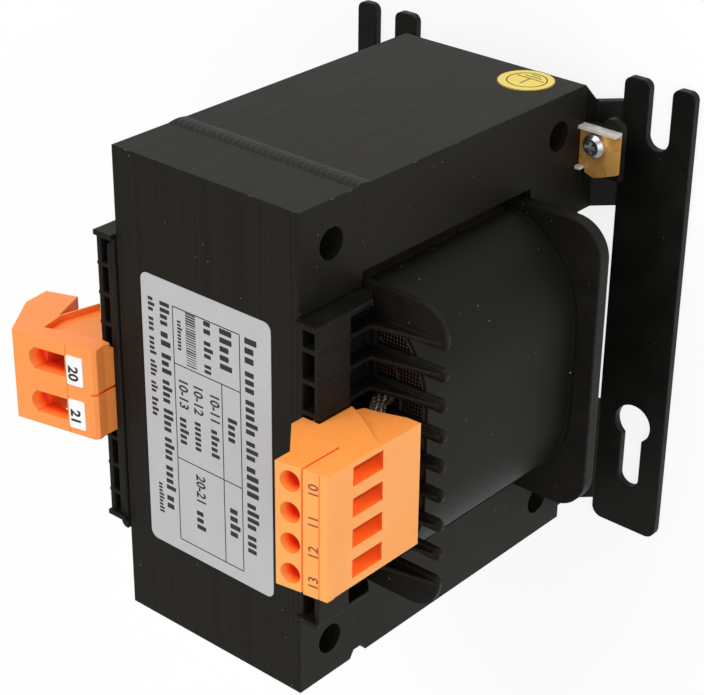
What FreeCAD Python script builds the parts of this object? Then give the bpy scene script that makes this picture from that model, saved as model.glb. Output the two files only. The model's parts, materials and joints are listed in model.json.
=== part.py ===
import FreeCAD, Part
import math
import os

os.makedirs("parts", exist_ok=True)
V = FreeCAD.Vector
past = 1.0          # how far a cutting shape runs past the face that it opens

# Frame: +Z leads away from the mounting plane, which the feet stand on at Z = 0.
# X runs along the core, with the earth mark at +X. Y runs through the stack,
# the four-pole block is on the -Y side and the two-pole block on the +Y side.
# The origin is under the middle of the core.

# Core laminations
outer_leg = 20.0
window_width = 20.0
centre_leg = 40.0
window_height = 60.0
back_yoke = 20.0
front_yoke = 20.0
stack_depth = 55.0
bolt_hole_diameter = 7.4
bolt_hole_inset = 10.0
weld_groove_width = 5.5
weld_groove_floor = 3.0
weld_groove_depth = 2.0
weld_crown = 0.35
weld_run_out = 6.5

# Feet, one folded sheet each
sheet = 2.0
bend_radius = 1.0
core_lift = 11.5
tab_upright = 5.0
tab_weld_width = 2.0
tab_weld_margin = 2.0
foot_reach = 24.0
foot_open_end = 61.0
foot_closed_end = 61.5
foot_corner = 3.0
prong_tip = 2.0
tab_inner_end = 27.5
tab_open_end = 54.5
tab_closed_end = 56.5
tab_corner_slope = 5.5
slot_out = 14.7
open_slot_width = 6.4
open_slot_centre = 47.7
keyhole_diameter = 10.4
keyhole_centre = -30.2
keyhole_slot_width = 6.1
keyhole_slot_centre = -45.8

# Bobbin
core_clearance = 0.3
tube_wall = 1.5
tube_corner = 1.5
flange_side_gap = 2.0
flange_overhang = 23.0
back_flange = 3.4
back_flange_corner = 9.0
comb_flange = 1.2
comb_corner = 8.0
comb_to_joint = 0.5
finger_width = 3.0
finger_tip = 1.4
slot_root = 3.5
rail_pitch = 7.5
rail_cells = 10
comb_slots = 8
rail_back_wall = 1.0
rail_depth = 6.0
rail_plate = 1.2
rail_plate_height = 10.0
rail_above_core = 0.5
rail_end_above_core = 1.5
rail_end_wall = 1.2
rail_end_shift = 1.0
rib = 0.9
rib_knee = 3.9
rib_tip_gap = 1.5
rib_tip_height = 0.4
ridge = 0.25
ridge_width = 0.8

# Windings, from the tube outwards
coil_end_gap = 0.3
primary_build = 6.6
interwinding_build = 0.6
secondary_build = 5.9
outer_insulation_build = 0.5
cover_sheet = 0.8
layer_gap = 0.05
head_bulge = 0.8
cover_corner = 25.0
cover_leg = 2.5
cover_lip = 0.6
cover_lip_height = 1.0

# Terminal parts common to both blocks
block_clearance = 0.3
hook_clearance = 0.2
part_gap = 0.3
thread_gap = 0.05
cage_wall = 0.9
cage_top = 1.5
strip = 0.8
screw_slot_width = 0.7
screw_slot_depth = 0.6
lead_diameter = 3.7
lead_recess_gap = 0.3
lead_recess_depth = 1.5
lead_straight = 3.0
lead_edge_gap = 0.6
arc_share = 0.45
marker_thickness = 0.3
marker_corner = 0.4
tongue_width = 3.0
tongue_drop = 5.5
tongue_thickness = 1.8

# Four-pole block: distances out from the rail's face, heights above the rail's top
four_centre = -1.1
four_pitch = 7.5
four_end_wall = 0.9
four_front_inner = 3.2
four_front_height = 17.0
four_front_fall = 2.0
four_neck_height = 12.4
four_hook_height = 3.9
four_hook_reach = 4.2
four_depth = 15.9
four_edge = 1.2
four_toe = 14.4
four_toe_inner = 4.0
four_toe_sag = 0.4
four_heel = 12.5
four_heel_rise = 2.0
four_heel_drop = 0.5
four_heel_out = 1.5
four_hole_out = 6.8
four_hole_diameter = 4.9
four_groove_out = 9.7
four_groove_width = 0.5
four_groove_depth = 0.6
four_slit_depth = 11.5
four_strip_step = 0.2
four_strip_height = 2.2
four_line_out = 13.8
four_line_width = 0.3
four_line_depth = 0.25
four_entry_low = -2.2
four_entry_height = 9.5
four_entry_width = 4.6
four_entry_shift = 0.45
four_entry_wall = 4.2
four_entry_inner_low = -6.0
four_entry_inner_height = 8.2
four_entry_inner_width = 4.4
four_entry_inner_shift = 0.3
four_cavity_inner = 3.1
four_cavity_low = -8.5
four_cavity_height = 16.0
four_cavity_width = 5.9
four_cage_depth = 5.0
four_cage_height = 9.0
four_screw_head = 4.6
four_screw_head_height = 1.8
four_screw_rise = 3.2
four_screw_shank = 3.0
four_screw_tip = 4.5
four_deck_drop = 1.2
four_deck_start = 3.9
four_deck_start_height = -8.7
four_deck_start_fall = 2.0
four_deck_end_height = -2.5
four_deck_lip = 1.7
four_deck_lip_fall = 0.6

# Two-pole block, measured in the same way
two_centre = -0.3
two_pitch = 11.4
two_end_wall = 2.2
two_front_inner = -4.7
two_front_height = 6.9
two_front_outer = 18.0
two_front_rise = 4.8
two_hook_reach = 3.9
two_hook_height = 3.2
two_shoulder_out = 26.2
two_shoulder_height = 0.4
two_wing_out = 27.2
two_wing_height = -6.8
two_wing_tip_out = 19.2
two_wing_tip_height = -9.8
two_bottom = -10.8
two_apex_out = 15.2
two_apex_height = -0.3
two_wall_foot = 12.8
two_slot_inner = 3.6
two_slot_outer = 13.7
two_slot_width = 5.6
two_slot_floor = 6.4
two_cavity_inner = 2.7
two_cavity_outer = 12.3
two_cavity_low = -8.5
two_cavity_height = 14.0
two_cavity_width = 7.4
two_window_height = 9.5
two_window_depth = 6.5
two_cage_out = 8.0
two_cage_depth = 6.2
two_cage_height = 6.0
two_cage_width = 6.6
two_screw_head = 5.2
two_screw_head_height = 1.8
two_screw_rise = 0.8
two_screw_shank = 3.5
two_screw_tip = 2.6
two_deck_drop = 1.6
two_deck_rim = 0.5
two_deck_top_out = 13.2
two_deck_top_height = 6.0
two_deck_low_out = -1.4
two_deck_low_height = 1.3
two_marker_inner = -1.4
two_marker_width = 4.5
two_marker_shift = 0.4
two_marker_length = 7.5
two_line_out = 3.3
two_line_width = 0.25
two_line_depth = 0.2
two_split_width = 0.6
two_split_depth = 1.6
two_edge = 0.9

# Earth terminal on the near foot
earth_x = 46.6
earth_out = 4.8
earth_gap = 0.1
bracket_low_reach = 8.4
bracket_high_reach = 4.1
bracket_width = 10.6
bracket_under_core = 0.3
bracket_sheet = 2.0
bracket_nose = 2.6
bracket_nose_radius = 3.0
nut_radius = 3.3
nut_height = 3.0
clamp_sheet = 0.8
clamp_lip_reach = 4.1
clamp_lug_reach = 6.8
clamp_width = 7.2
clamp_lip_length = 10.6
clamp_lip = 2.0
clamp_lug = 1.5
clamp_lug_height = 2.4
plate_sheet = 0.8
plate_length = 11.8
plate_flat = 7.3
plate_wing = 3.5
plate_wing_angle = 11.0
plate_wing_cut = 2.6
plate_tip_out = 4.5
plate_nick = 0.9
earth_screw_head = 5.8
earth_screw_head_height = 2.3
earth_screw_head_bevel = 0.9
earth_screw_shank = 4.0
earth_screw_length = 7.0
recess_length = 3.2
recess_width = 0.8
recess_depth = 1.2

# Label and sticker
label_length = 69.8
label_width = 39.5
label_centre_x = -2.6
label_centre_y = 0.25
label_corner = 2.0
label_thickness = 0.15
sticker_diameter = 14.0
sticker_y = -15.2
sticker_height = 7.1
sticker_thickness = 0.12

# Places that follow from the sizes above
core_end = outer_leg + window_width + centre_leg / 2
core_side = stack_depth / 2
core_back = core_lift
window_back = core_back + back_yoke
joint = window_back + window_height
core_front = joint + front_yoke
tube_x = centre_leg / 2 + core_clearance
tube_y = core_side + core_clearance
coil_x = tube_x + tube_wall
coil_y = tube_y + tube_wall
flange_x = centre_leg / 2 + window_width - flange_side_gap
flange_y = core_side + flange_overhang
coil_low = window_back + core_clearance + back_flange
comb_top = joint - comb_to_joint
coil_high = comb_top - comb_flange
winding_low = coil_low + coil_end_gap
winding_high = coil_high - coil_end_gap
rail_back = core_side + core_clearance
rail_face = core_side + rail_depth
rail_top = core_front + rail_above_core
rail_half = rail_pitch * rail_cells / 2
rail_plate_low = rail_top - rail_plate_height
slot_line = core_side + slot_out
slot_x = [rail_pitch * (i - (comb_slots - 1) / 2) for i in range(comb_slots)]
rib_x = [rail_pitch * (i - rail_cells / 2) for i in range(1, rail_cells)]
bend_line = core_back - tab_upright
slant_end = core_side + bend_line - sheet
bracket_top = core_back - bracket_under_core


def prism_x(points, low, high):
    wire = Part.makePolygon([V(low, y, z) for y, z in points + points[:1]])
    return Part.Face(wire).extrude(V(high - low, 0, 0))


def prism_y(points, low, high):
    wire = Part.makePolygon([V(x, low, z) for x, z in points + points[:1]])
    return Part.Face(wire).extrude(V(0, high - low, 0))


def prism_z(points, low, high):
    wire = Part.makePolygon([V(x, y, low) for x, y in points + points[:1]])
    return Part.Face(wire).extrude(V(0, 0, high - low))


def block(x_low, x_high, y_low, y_high, z_low, z_high):
    corner = V(x_low, y_low, z_low)
    return Part.makeBox(x_high - x_low, y_high - y_low, z_high - z_low, corner)


def rod_y(radius, x, z, low, high):
    return Part.makeCylinder(radius, high - low, V(x, low, z), V(0, 1, 0))


def rod_z(radius, x, y, low, high):
    return Part.makeCylinder(radius, high - low, V(x, y, low), V(0, 0, 1))


def rounded(shape, radius, chosen):
    edges = [edge for edge in shape.Edges if chosen(edge)]
    return shape.makeFillet(radius, edges)


def runs_along(edge, axis):
    if not isinstance(edge.Curve, Part.Line):
        return False
    return abs(abs(edge.Curve.Direction.dot(axis)) - 1) < 1e-6


def upright(edge):
    return runs_along(edge, V(0, 0, 1))


def near(value, target, reach=0.01):
    return abs(value - target) < reach


def rounded_block(half_x, half_y, radius, z_low, z_high):
    solid = block(-half_x, half_x, -half_y, half_y, z_low, z_high)
    return rounded(solid, radius, upright)


def mirrored(shape):
    return shape.mirror(V(0, 0, 0), V(0, 1, 0))


def on_side(shape, side):
    # Pieces are drawn on the +Y side and mirrored for the -Y side
    return shape if side > 0 else mirrored(shape)


def joined(shapes):
    return shapes[0].fuse(shapes[1:]).removeSplitter()


# Core

def weld_groove(end):
    # Trapezoid groove across the stack where the I strip meets the E
    outer = end * (core_end + past)
    face = end * core_end
    floor = end * (core_end - weld_groove_depth)
    half = weld_groove_width / 2
    half_floor = weld_groove_floor / 2
    points = [(outer, joint - half), (face, joint - half), (floor, joint - half_floor),
              (floor, joint + half_floor), (face, joint + half), (outer, joint + half)]
    return prism_y(points, -core_side - past, core_side + past)


def e_lamination_stack():
    solid = block(-core_end, core_end, -core_side, core_side, core_back, joint)
    cuts = [weld_groove(1), weld_groove(-1)]
    for end in (1, -1):
        inner = end * centre_leg / 2
        outer = end * (centre_leg / 2 + window_width)
        cuts.append(block(min(inner, outer), max(inner, outer), -core_side - past,
                          core_side + past, window_back, joint + past))
        cuts.append(rod_y(bolt_hole_diameter / 2, end * (core_end - bolt_hole_inset),
                          core_back + bolt_hole_inset, -core_side - past, core_side + past))
    return solid.cut(cuts)


def i_lamination_stack():
    solid = block(-core_end, core_end, -core_side, core_side, joint, core_front)
    cuts = [weld_groove(1), weld_groove(-1)]
    for end in (1, -1):
        cuts.append(rod_y(bolt_hole_diameter / 2, end * (core_end - bolt_hole_inset),
                          core_front - bolt_hole_inset, -core_side - past, core_side + past))
    return solid.cut(cuts)


def core_weld(end, y_low, y_high):
    # The bead fills its groove and stands a little proud of the face
    face = end * core_end
    floor = end * (core_end - weld_groove_depth)
    half = weld_groove_width / 2
    half_floor = weld_groove_floor / 2
    crown = Part.Arc(V(face, y_low, joint + half), V(face + end * weld_crown, y_low, joint),
                     V(face, y_low, joint - half)).toShape()
    sides = Part.makePolygon([V(face, y_low, joint - half), V(floor, y_low, joint - half_floor),
                              V(floor, y_low, joint + half_floor), V(face, y_low, joint + half)])
    section = Part.Face(Part.Wire([crown] + sides.Edges))
    return section.extrude(V(0, y_high - y_low, 0))


# Feet

def tab_section(low, high):
    # Upright edge under the core, then a 45 degree slant out to the flange
    slant_inset = sheet * math.tan(math.radians(22.5))
    inner = core_side - sheet
    points = [(core_side, core_back), (core_side, bend_line), (slant_end, sheet),
              (slant_end + bend_radius, sheet), (slant_end + bend_radius, 0),
              (slant_end - slant_inset, 0), (inner, bend_line - slant_inset), (inner, core_back)]
    solid = prism_x(points, low, high)

    def inside_bend(edge):
        centre = edge.CenterOfMass
        at_upright = near(centre.y, core_side) and near(centre.z, bend_line)
        at_flange = near(centre.y, slant_end) and near(centre.z, sheet)
        return runs_along(edge, V(1, 0, 0)) and (at_upright or at_flange)

    def outside_bend(edge):
        centre = edge.CenterOfMass
        at_upright = near(centre.y, inner) and near(centre.z, bend_line - slant_inset)
        at_flange = near(centre.y, slant_end - slant_inset) and near(centre.z, 0)
        return runs_along(edge, V(1, 0, 0)) and (at_upright or at_flange)

    solid = rounded(solid, bend_radius, inside_bend)
    return rounded(solid, bend_radius + sheet, outside_bend)


def foot():
    flange_outer = core_side + foot_reach
    flange = block(-foot_closed_end, foot_open_end, slant_end, flange_outer, 0, sheet)
    half_slot = open_slot_width / 2
    open_slot = joined([
        rod_z(half_slot, open_slot_centre, slot_line, -past, sheet + past),
        block(open_slot_centre, foot_open_end + past, slot_line - half_slot, slot_line + half_slot,
              -past, sheet + past)])
    half_key = keyhole_slot_width / 2
    keyhole = joined([
        rod_z(keyhole_diameter / 2, keyhole_centre, slot_line, -past, sheet + past),
        rod_z(half_key, keyhole_slot_centre, slot_line, -past, sheet + past),
        block(keyhole_slot_centre, keyhole_centre, slot_line - half_key, slot_line + half_key,
              -past, sheet + past)])
    flange = flange.cut([open_slot, keyhole])
    flange = rounded(flange, prong_tip,
                     lambda edge: upright(edge) and near(edge.CenterOfMass.x, foot_open_end))
    flange = rounded(flange, foot_corner,
                     lambda edge: upright(edge) and near(edge.CenterOfMass.x, -foot_closed_end))
    far = core_side + foot_reach
    open_outline = [(tab_inner_end, -past), (tab_open_end, -past),
                    (tab_open_end, core_back - tab_corner_slope),
                    (tab_open_end + tab_corner_slope, core_back), (tab_inner_end, core_back)]
    closed_outline = [(-tab_closed_end, -past), (-tab_inner_end, -past),
                      (-tab_inner_end, core_back), (-tab_closed_end, core_back)]
    open_tab = tab_section(0, core_end).common(prism_y(open_outline, 0, far))
    closed_tab = tab_section(-core_end, 0).common(prism_y(closed_outline, 0, far))
    return joined([flange, open_tab, closed_tab])


def foot_weld_beads():
    # Fillet bead in the corner behind each tab
    beads = []
    inner = core_side - sheet
    for low, high in ((tab_inner_end, tab_open_end), (-tab_closed_end, -tab_inner_end)):
        points = [(inner, core_back), (inner - tab_weld_width, core_back),
                  (inner, core_back - tab_weld_width)]
        bead = prism_x(points, low + tab_weld_margin, high - tab_weld_margin)
        beads += [bead, mirrored(bead)]
    return beads


# Bobbin

def comb():
    solid = rounded_block(flange_x, flange_y, comb_corner, coil_high, comb_top)
    cuts = []
    root = core_side + slot_root
    half = (rail_pitch - finger_width) / 2
    for x in slot_x:
        slot = block(x - half, x + half, root, flange_y + past, coil_high - past, comb_top + past)
        cuts += [slot, mirrored(slot)]
    solid = solid.cut(cuts)
    last = max(slot_x) + half + 0.5

    def tip(edge):
        centre = edge.CenterOfMass
        return upright(edge) and near(abs(centre.y), flange_y) and abs(centre.x) < last

    return rounded(solid, finger_tip, tip)


def rail():
    # Ladder of open cells on the comb, with a plate over its front half
    low_end = rail_end_shift - rail_half
    high_end = rail_end_shift + rail_half
    back_wall = block(low_end, high_end, rail_back, rail_back + rail_back_wall,
                      coil_high, rail_top)
    plate = block(low_end, high_end, rail_face - rail_plate, rail_face,
                  rail_plate_low, rail_top)
    inner = rail_back + rail_back_wall / 2
    front = rail_face - rail_plate / 2
    knee = comb_top + rib_knee
    tip = flange_y - rib_tip_gap
    # Each rib runs on along its finger, where it slopes down to the tip
    rib_outline = [(inner, coil_high), (tip, comb_top - comb_flange / 2),
                   (tip, comb_top + rib_tip_height), (front, knee), (front, rail_top),
                   (inner, rail_top)]
    end_top = core_front + rail_end_above_core
    end_outline = [(rail_back, coil_high), (inner, coil_high), (rail_face, knee),
                   (rail_face, end_top), (rail_back, end_top)]
    pieces = [back_wall, plate]
    for x in rib_x:
        pieces.append(prism_x(rib_outline, x - rib / 2, x + rib / 2))
        pieces.append(block(x - ridge_width / 2, x + ridge_width / 2, front,
                            rail_face + ridge, rail_plate_low, rail_top))
    for low in (low_end, high_end - rail_end_wall):
        pieces.append(prism_x(end_outline, low, low + rail_end_wall))
    return joined(pieces)


def bobbin():
    tube_outer = rounded_block(coil_x, coil_y, tube_corner, window_back + core_clearance, comb_top)
    back = rounded_block(flange_x, flange_y, back_flange_corner,
                         window_back + core_clearance, coil_low)
    bore = block(-tube_x, tube_x, -tube_y, tube_y, core_back, core_front)
    far_rail = rail()
    near_rail = far_rail.rotated(V(0, 0, 0), V(0, 0, 1), 180)
    body = joined([tube_outer, back, comb(), far_rail, near_rail])
    return body.cut(bore).removeSplitter()


# Windings

layer_names = ["primary_winding", "interwinding_insulation", "secondary_winding",
               "outer_insulation"]
layer_builds = [primary_build, interwinding_build, secondary_build, outer_insulation_build]


def layer_surfaces():
    # Half sizes and corner radius of each surface, from the tube outwards
    total = sum(layer_builds) + cover_sheet + layer_gap * (len(layer_builds) + 1)
    surfaces = []
    depth = 0.0
    for index, build in enumerate(layer_builds):
        depth += layer_gap
        bulge = head_bulge if index else 0.0
        inner = (coil_x + depth, coil_y + depth + bulge, corner_at(total, depth, index))
        depth += build
        outer = (coil_x + depth, coil_y + depth + head_bulge, corner_at(total, depth, index + 1))
        surfaces.append((inner, outer))
    return surfaces, depth


def corner_at(total, depth, index):
    # The first surface follows the tube, the others are parallel to the cover
    if index == 0:
        return tube_corner + depth
    return max(cover_corner - (total - depth), tube_corner)


def ring(inner, outer):
    body = rounded_block(*outer, winding_low, winding_high)
    return body.cut(rounded_block(*inner, winding_low - past, winding_high + past))


def coil_cover():
    # Formed sheet round the coil head, with a lip on the back flange
    depth = layer_surfaces()[1] + layer_gap
    inner = (coil_x + depth, coil_y + depth + head_bulge, cover_corner - cover_sheet)
    outer = (inner[0] + cover_sheet, inner[1] + cover_sheet, cover_corner)
    lip_x = min(outer[0] + cover_lip, flange_x)
    lip = rounded_block(lip_x, outer[1] + cover_lip, cover_corner + cover_lip,
                        winding_low, winding_low + cover_lip_height)
    body = ring(inner, outer).fuse(lip.cut(rounded_block(*inner, winding_low - past, winding_high)))
    keep = block(-flange_x, flange_x, core_side - cover_leg, flange_y, winding_low, winding_high)
    return body.common(keep).removeSplitter()


# Terminal blocks

class TerminalBlock:
    # One block's side, pole places and the sizes of what each pole holds
    def __init__(self, side, names, centre, pitch, bottom, cage, screw, slots, lead_to):
        self.side = side
        self.bottom = bottom
        self.names = names
        self.poles = [centre + pitch * ((len(names) - 1) / 2 - i) for i in range(len(names))]
        self.cage_out, self.cage_depth, self.cage_height, self.cage_width, self.cage_low = cage
        self.head, self.head_height, self.rise, self.shank, self.tip = screw
        self.slots = slots
        self.lead_to = lead_to
        self.strip_out = self.cage_out - self.cage_depth / 2 - part_gap - strip
        self.strip_y = rail_face + self.strip_out
        self.lead_y = self.strip_y + strip / 2
        self.cage_floor = rail_top + self.cage_low
        self.cage_roof = self.cage_floor + self.cage_height
        self.screw_y = rail_face + self.cage_out

    def clamp(self, x):
        low = self.screw_y - self.cage_depth / 2
        high = self.screw_y + self.cage_depth / 2
        half = self.cage_width / 2
        body = block(x - half, x + half, low, high, self.cage_floor, self.cage_roof)
        window = block(x - half + cage_wall, x + half - cage_wall, low - past, high + past,
                       self.cage_floor + cage_wall, self.cage_roof - cage_top)
        thread = rod_z(self.shank / 2 + thread_gap, x, self.screw_y,
                       self.cage_roof - cage_top - past, self.cage_roof + past)
        return on_side(body.cut([window, thread]), self.side)

    def screw(self, x):
        seat = self.cage_roof + self.rise
        top = seat + self.head_height
        shank = rod_z(self.shank / 2, x, self.screw_y, self.cage_roof - self.tip, seat)
        head = rod_z(self.head / 2, x, self.screw_y, seat, top)
        slot = block(x - self.head, x + self.head, self.screw_y - screw_slot_width / 2,
                     self.screw_y + screw_slot_width / 2, top - screw_slot_depth, top + past)
        return on_side(joined([shank, head]).cut(slot), self.side)

    def tail(self, x):
        # Strip on the cage's floor, bent down beside the cage to the lead
        floor = self.cage_floor + cage_wall
        end = self.screw_y + self.cage_depth / 2
        half = self.cage_width / 2 - cage_wall - thread_gap
        flat = block(x - half, x + half, self.strip_y, end, floor, floor + strip)
        leg_half = lead_diameter / 2 - lead_edge_gap
        leg = block(x - leg_half, x + leg_half, self.strip_y, self.strip_y + strip,
                    self.lead_top(), floor + strip)
        return on_side(joined([flat, leg]), self.side)

    def lead_top(self):
        return self.bottom + lead_recess_depth

    def recess(self, x):
        # Round socket for the lead's end and the slit that the strip passes
        socket = rod_z(lead_diameter / 2 + lead_recess_gap, x, self.lead_y,
                       self.bottom - 5 * past, self.lead_top())
        slit_half = lead_diameter / 2 - lead_edge_gap + part_gap
        slit = block(x - slit_half, x + slit_half, self.strip_y - thread_gap,
                     self.strip_y + strip + thread_gap, self.bottom, self.cage_floor)
        return [socket, slit]

    def lead(self, x, slot):
        # Straight runs joined by arcs, down through the comb's slot to the coil
        first = self.lead_top() - lead_straight
        last = comb_top + lead_straight / 2
        points = [V(x, self.lead_y, self.lead_top()), V(x, self.lead_y, first),
                  V(slot, self.lead_to, last), V(slot, self.lead_to, winding_high)]
        return on_side(tube_along(points, lead_diameter / 2), self.side)


def disc(radius, centre, direction):
    return Part.Face(Part.Wire(Part.makeCircle(radius, centre, direction)))


def tube_along(points, radius):
    # Runs joined by tangent arcs, each as large as its shorter run allows
    pieces = []
    start = points[0]
    for before, corner, after in zip(points, points[1:], points[2:]):
        back = (before - corner).normalize()
        ahead = (after - corner).normalize()
        reach = arc_share * min((before - corner).Length, (after - corner).Length)
        enter = corner + back * reach
        half_angle = back.getAngle(ahead) / 2
        centre = corner + (back + ahead).normalize() * (reach / math.cos(half_angle))
        turn = 180 - 2 * math.degrees(half_angle)
        pieces.append(disc(radius, start, back).extrude(enter - start))
        pieces.append(disc(radius, enter, back).revolve(centre, ahead.cross(back), turn))
        start = corner + ahead * reach
    pieces.append(disc(radius, start, ahead).extrude(points[-1] - start))
    return joined(pieces)


four_pole = TerminalBlock(
    -1, ["10", "11", "12", "13"], four_centre, four_pitch, rail_top - four_heel - part_gap,
    (four_hole_out, four_cage_depth, four_cage_height, four_cavity_width - 2 * part_gap,
     four_cavity_low + part_gap),
    (four_screw_head, four_screw_head_height, four_screw_rise, four_screw_shank, four_screw_tip),
    [slot_x[5], slot_x[4], slot_x[3], slot_x[2]], coil_y + head_bulge + primary_build / 2)

two_pole = TerminalBlock(
    1, ["20", "21"], two_centre, two_pitch, rail_top + two_bottom,
    (two_cage_out, two_cage_depth, two_cage_height, two_cage_width, two_cavity_low + part_gap),
    (two_screw_head, two_screw_head_height, two_screw_rise, two_screw_shank, two_screw_tip),
    [slot_x[4], slot_x[3]],
    coil_y + head_bulge + primary_build + interwinding_build + secondary_build / 2)


def out_and_up(points):
    # From distances out of the rail's face and heights above its top to Y and Z
    return [(rail_face + out, rail_top + height) for out, height in points]


def tongues(cells):
    # Plug tongues that reach into the rail's cells behind the plate
    outer = rail_face - rail_plate - hook_clearance
    return [block(x - tongue_width / 2, x + tongue_width / 2, outer - tongue_thickness, outer,
                  rail_top - tongue_drop, rail_top + 2 * hook_clearance) for x in cells]


def four_pole_housing():
    reach = four_cavity_width / 2 + four_end_wall
    low = min(four_pole.poles) - reach
    high = max(four_pole.poles) + reach
    front_outer = four_front_height - four_front_fall
    outline = out_and_up([
        (four_front_inner, four_front_height), (four_front_inner, four_neck_height),
        (-four_hook_reach, four_hook_height), (-four_hook_reach, hook_clearance),
        (block_clearance, hook_clearance), (block_clearance, four_heel_rise - four_heel),
        (four_heel_out, -four_heel - four_heel_drop),
        (four_depth - four_toe_inner, -four_toe - four_toe_sag),
        (four_depth, -four_toe), (four_depth, front_outer)])
    body = prism_x(outline, low, high)
    body = rounded(body, four_edge, lambda edge: runs_along(edge, V(1, 0, 0))
                   and near(edge.CenterOfMass.y, rail_face + four_depth)
                   and edge.CenterOfMass.z > rail_top)
    strip_block = prism_x(out_and_up([
        (four_groove_out, front_outer - four_strip_height),
        (four_depth, front_outer - four_strip_height),
        (four_depth, front_outer),
        (four_groove_out, front_at(four_groove_out))]), low - four_strip_step, low)
    body = joined([body, strip_block] + tongues(four_pole.slots))
    cuts = [four_groove(low, high, four_groove_out, four_groove_width, four_groove_depth),
            four_groove(low, high, four_line_out, four_line_width, four_line_depth),
            four_slit(high), four_deck(high)]
    for x in four_pole.poles:
        cuts.append(rod_z(four_hole_diameter / 2, x, rail_face + four_hole_out,
                          rail_top + four_cavity_low + four_cavity_height - past,
                          rail_top + four_front_height + past))
        cuts.append(pole_cavity(x, four_cavity_width, four_cavity_inner,
                                four_depth - four_entry_wall, four_cavity_low,
                                four_cavity_height))
        cuts.append(four_entry(x))
        cuts += four_pole.recess(x)
    return on_side(body.cut(cuts).removeSplitter(), -1)


def front_at(out):
    # Height of the four-pole block's sloped front above the rail's top
    span = four_depth - four_front_inner
    return four_front_height - four_front_fall * (out - four_front_inner) / span


def four_groove(low, high, out, width, depth):
    centre = rail_face + out
    height = rail_top + front_at(out)
    return block(low - four_strip_step - past, high + past, centre - width / 2,
                 centre + width / 2, height - depth, height + 2 * past)


def four_slit(high):
    # The groove runs on down the end face
    centre = rail_face + four_groove_out
    height = rail_top + front_at(four_groove_out)
    return block(high - four_groove_depth, high + past, centre - four_groove_width / 2,
                 centre + four_groove_width / 2, height - four_slit_depth, height + past)


def four_deck(high):
    # Sloped deck on the end face, deepest beside the lead
    outer = rail_face + four_depth
    inner = rail_face + four_deck_start
    wedge = prism_z([(high, outer), (high + past, outer), (high + past, rail_face - past),
                     (high - four_deck_drop, rail_face - past), (high - four_deck_drop, inner)],
                    rail_top - four_toe - 2 * past, rail_top)
    under = -four_toe - 2 * past
    outline = out_and_up([
        (-past, four_deck_start_height - four_deck_start_fall),
        (four_deck_start, four_deck_start_height),
        (four_depth - four_deck_lip, four_deck_end_height),
        (four_depth, four_deck_end_height - four_deck_lip_fall), (four_depth, under),
        (-past, under)])
    return wedge.common(prism_x(outline, high - four_deck_drop - past, high + 2 * past))


def pole_cavity(x, width, inner, outer, low, height):
    return block(x - width / 2, x + width / 2, rail_face + inner, rail_face + outer,
                 rail_top + low, rail_top + low + height)


def rectangle(x, y, half_width, low, height):
    corners = [(x - half_width, low), (x + half_width, low),
               (x + half_width, low + height), (x - half_width, low + height)]
    return Part.makePolygon([V(u, y, z) for u, z in corners + corners[:1]])


def four_entry(x):
    # Wire funnel that slopes from the outer face down to the clamp
    outer = rectangle(x + four_entry_shift, rail_face + four_depth, four_entry_width / 2,
                      rail_top + four_entry_low, four_entry_height)
    inner = rectangle(x + four_entry_inner_shift, rail_face + four_depth - four_entry_wall,
                      four_entry_inner_width / 2, rail_top + four_entry_inner_low,
                      four_entry_inner_height)
    return Part.makeLoft([outer, inner], True, True)


def two_front_at(out):
    span = two_front_outer - two_front_inner
    return two_front_height + two_front_rise * (out - two_front_inner) / span


def two_pole_housing():
    reach = two_cavity_width / 2 + two_end_wall
    low = min(two_pole.poles) - reach
    high = max(two_pole.poles) + reach
    outline = out_and_up([
        (two_front_inner, two_front_height),
        (two_front_outer, two_front_height + two_front_rise),
        (two_shoulder_out, two_shoulder_height), (two_wing_out, two_wing_height),
        (two_wing_tip_out, two_wing_tip_height), (two_apex_out, two_apex_height),
        (two_wall_foot, two_bottom), (block_clearance, two_bottom),
        (block_clearance, hook_clearance), (-two_hook_reach, hook_clearance),
        (-two_hook_reach, two_hook_height)])
    body = prism_x(outline, low, high)
    body = body.makeChamfer(two_edge, [
        edge for edge in body.Edges if runs_along(edge, V(1, 0, 0))
        and near(edge.CenterOfMass.y, rail_face + two_front_inner)])
    body = joined([body] + tongues(two_pole.slots))
    cuts = [two_deck(high), two_line(low, high), two_split(), two_window(low)]
    for x in two_pole.poles:
        cuts.append(two_slot(x))
        cuts.append(pole_cavity(x, two_cavity_width, two_cavity_inner, two_cavity_outer,
                                two_cavity_low, two_cavity_height))
        cuts.append(block(x - two_slot_width / 2, x + two_slot_width / 2,
                          rail_face + two_cavity_outer - past, rail_face + two_wall_foot + past,
                          two_pole.cage_floor + cage_wall, two_pole.cage_roof))
        cuts += two_pole.recess(x)
    return body.cut(cuts).removeSplitter()


def two_slot(x):
    # Slot in the sloped front with a rounded outer end, stepped at its floor
    radius = two_slot_width / 2
    outer_centre = rail_face + two_slot_outer - radius
    top = rail_top + two_front_height + two_front_rise
    floor = rail_top + two_slot_floor
    inner = rail_face + two_slot_inner
    wide = joined([rod_z(radius, x, outer_centre, floor, top),
                   block(x - radius, x + radius, inner, outer_centre, floor, top)])
    deep = block(x - radius, x + radius, inner, rail_face + two_cavity_outer,
                 rail_top + two_cavity_low + two_cavity_height - past, top)
    return joined([wide, deep])


def two_window(low):
    # The last pole's cavity is open at the block's end
    x = min(two_pole.poles)
    height = rail_top + two_cavity_low + two_cavity_height - two_window_height
    return block(low - past, x, rail_face + two_cavity_outer - two_window_depth,
                 rail_face + two_cavity_outer, height, height + two_window_height)


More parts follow.
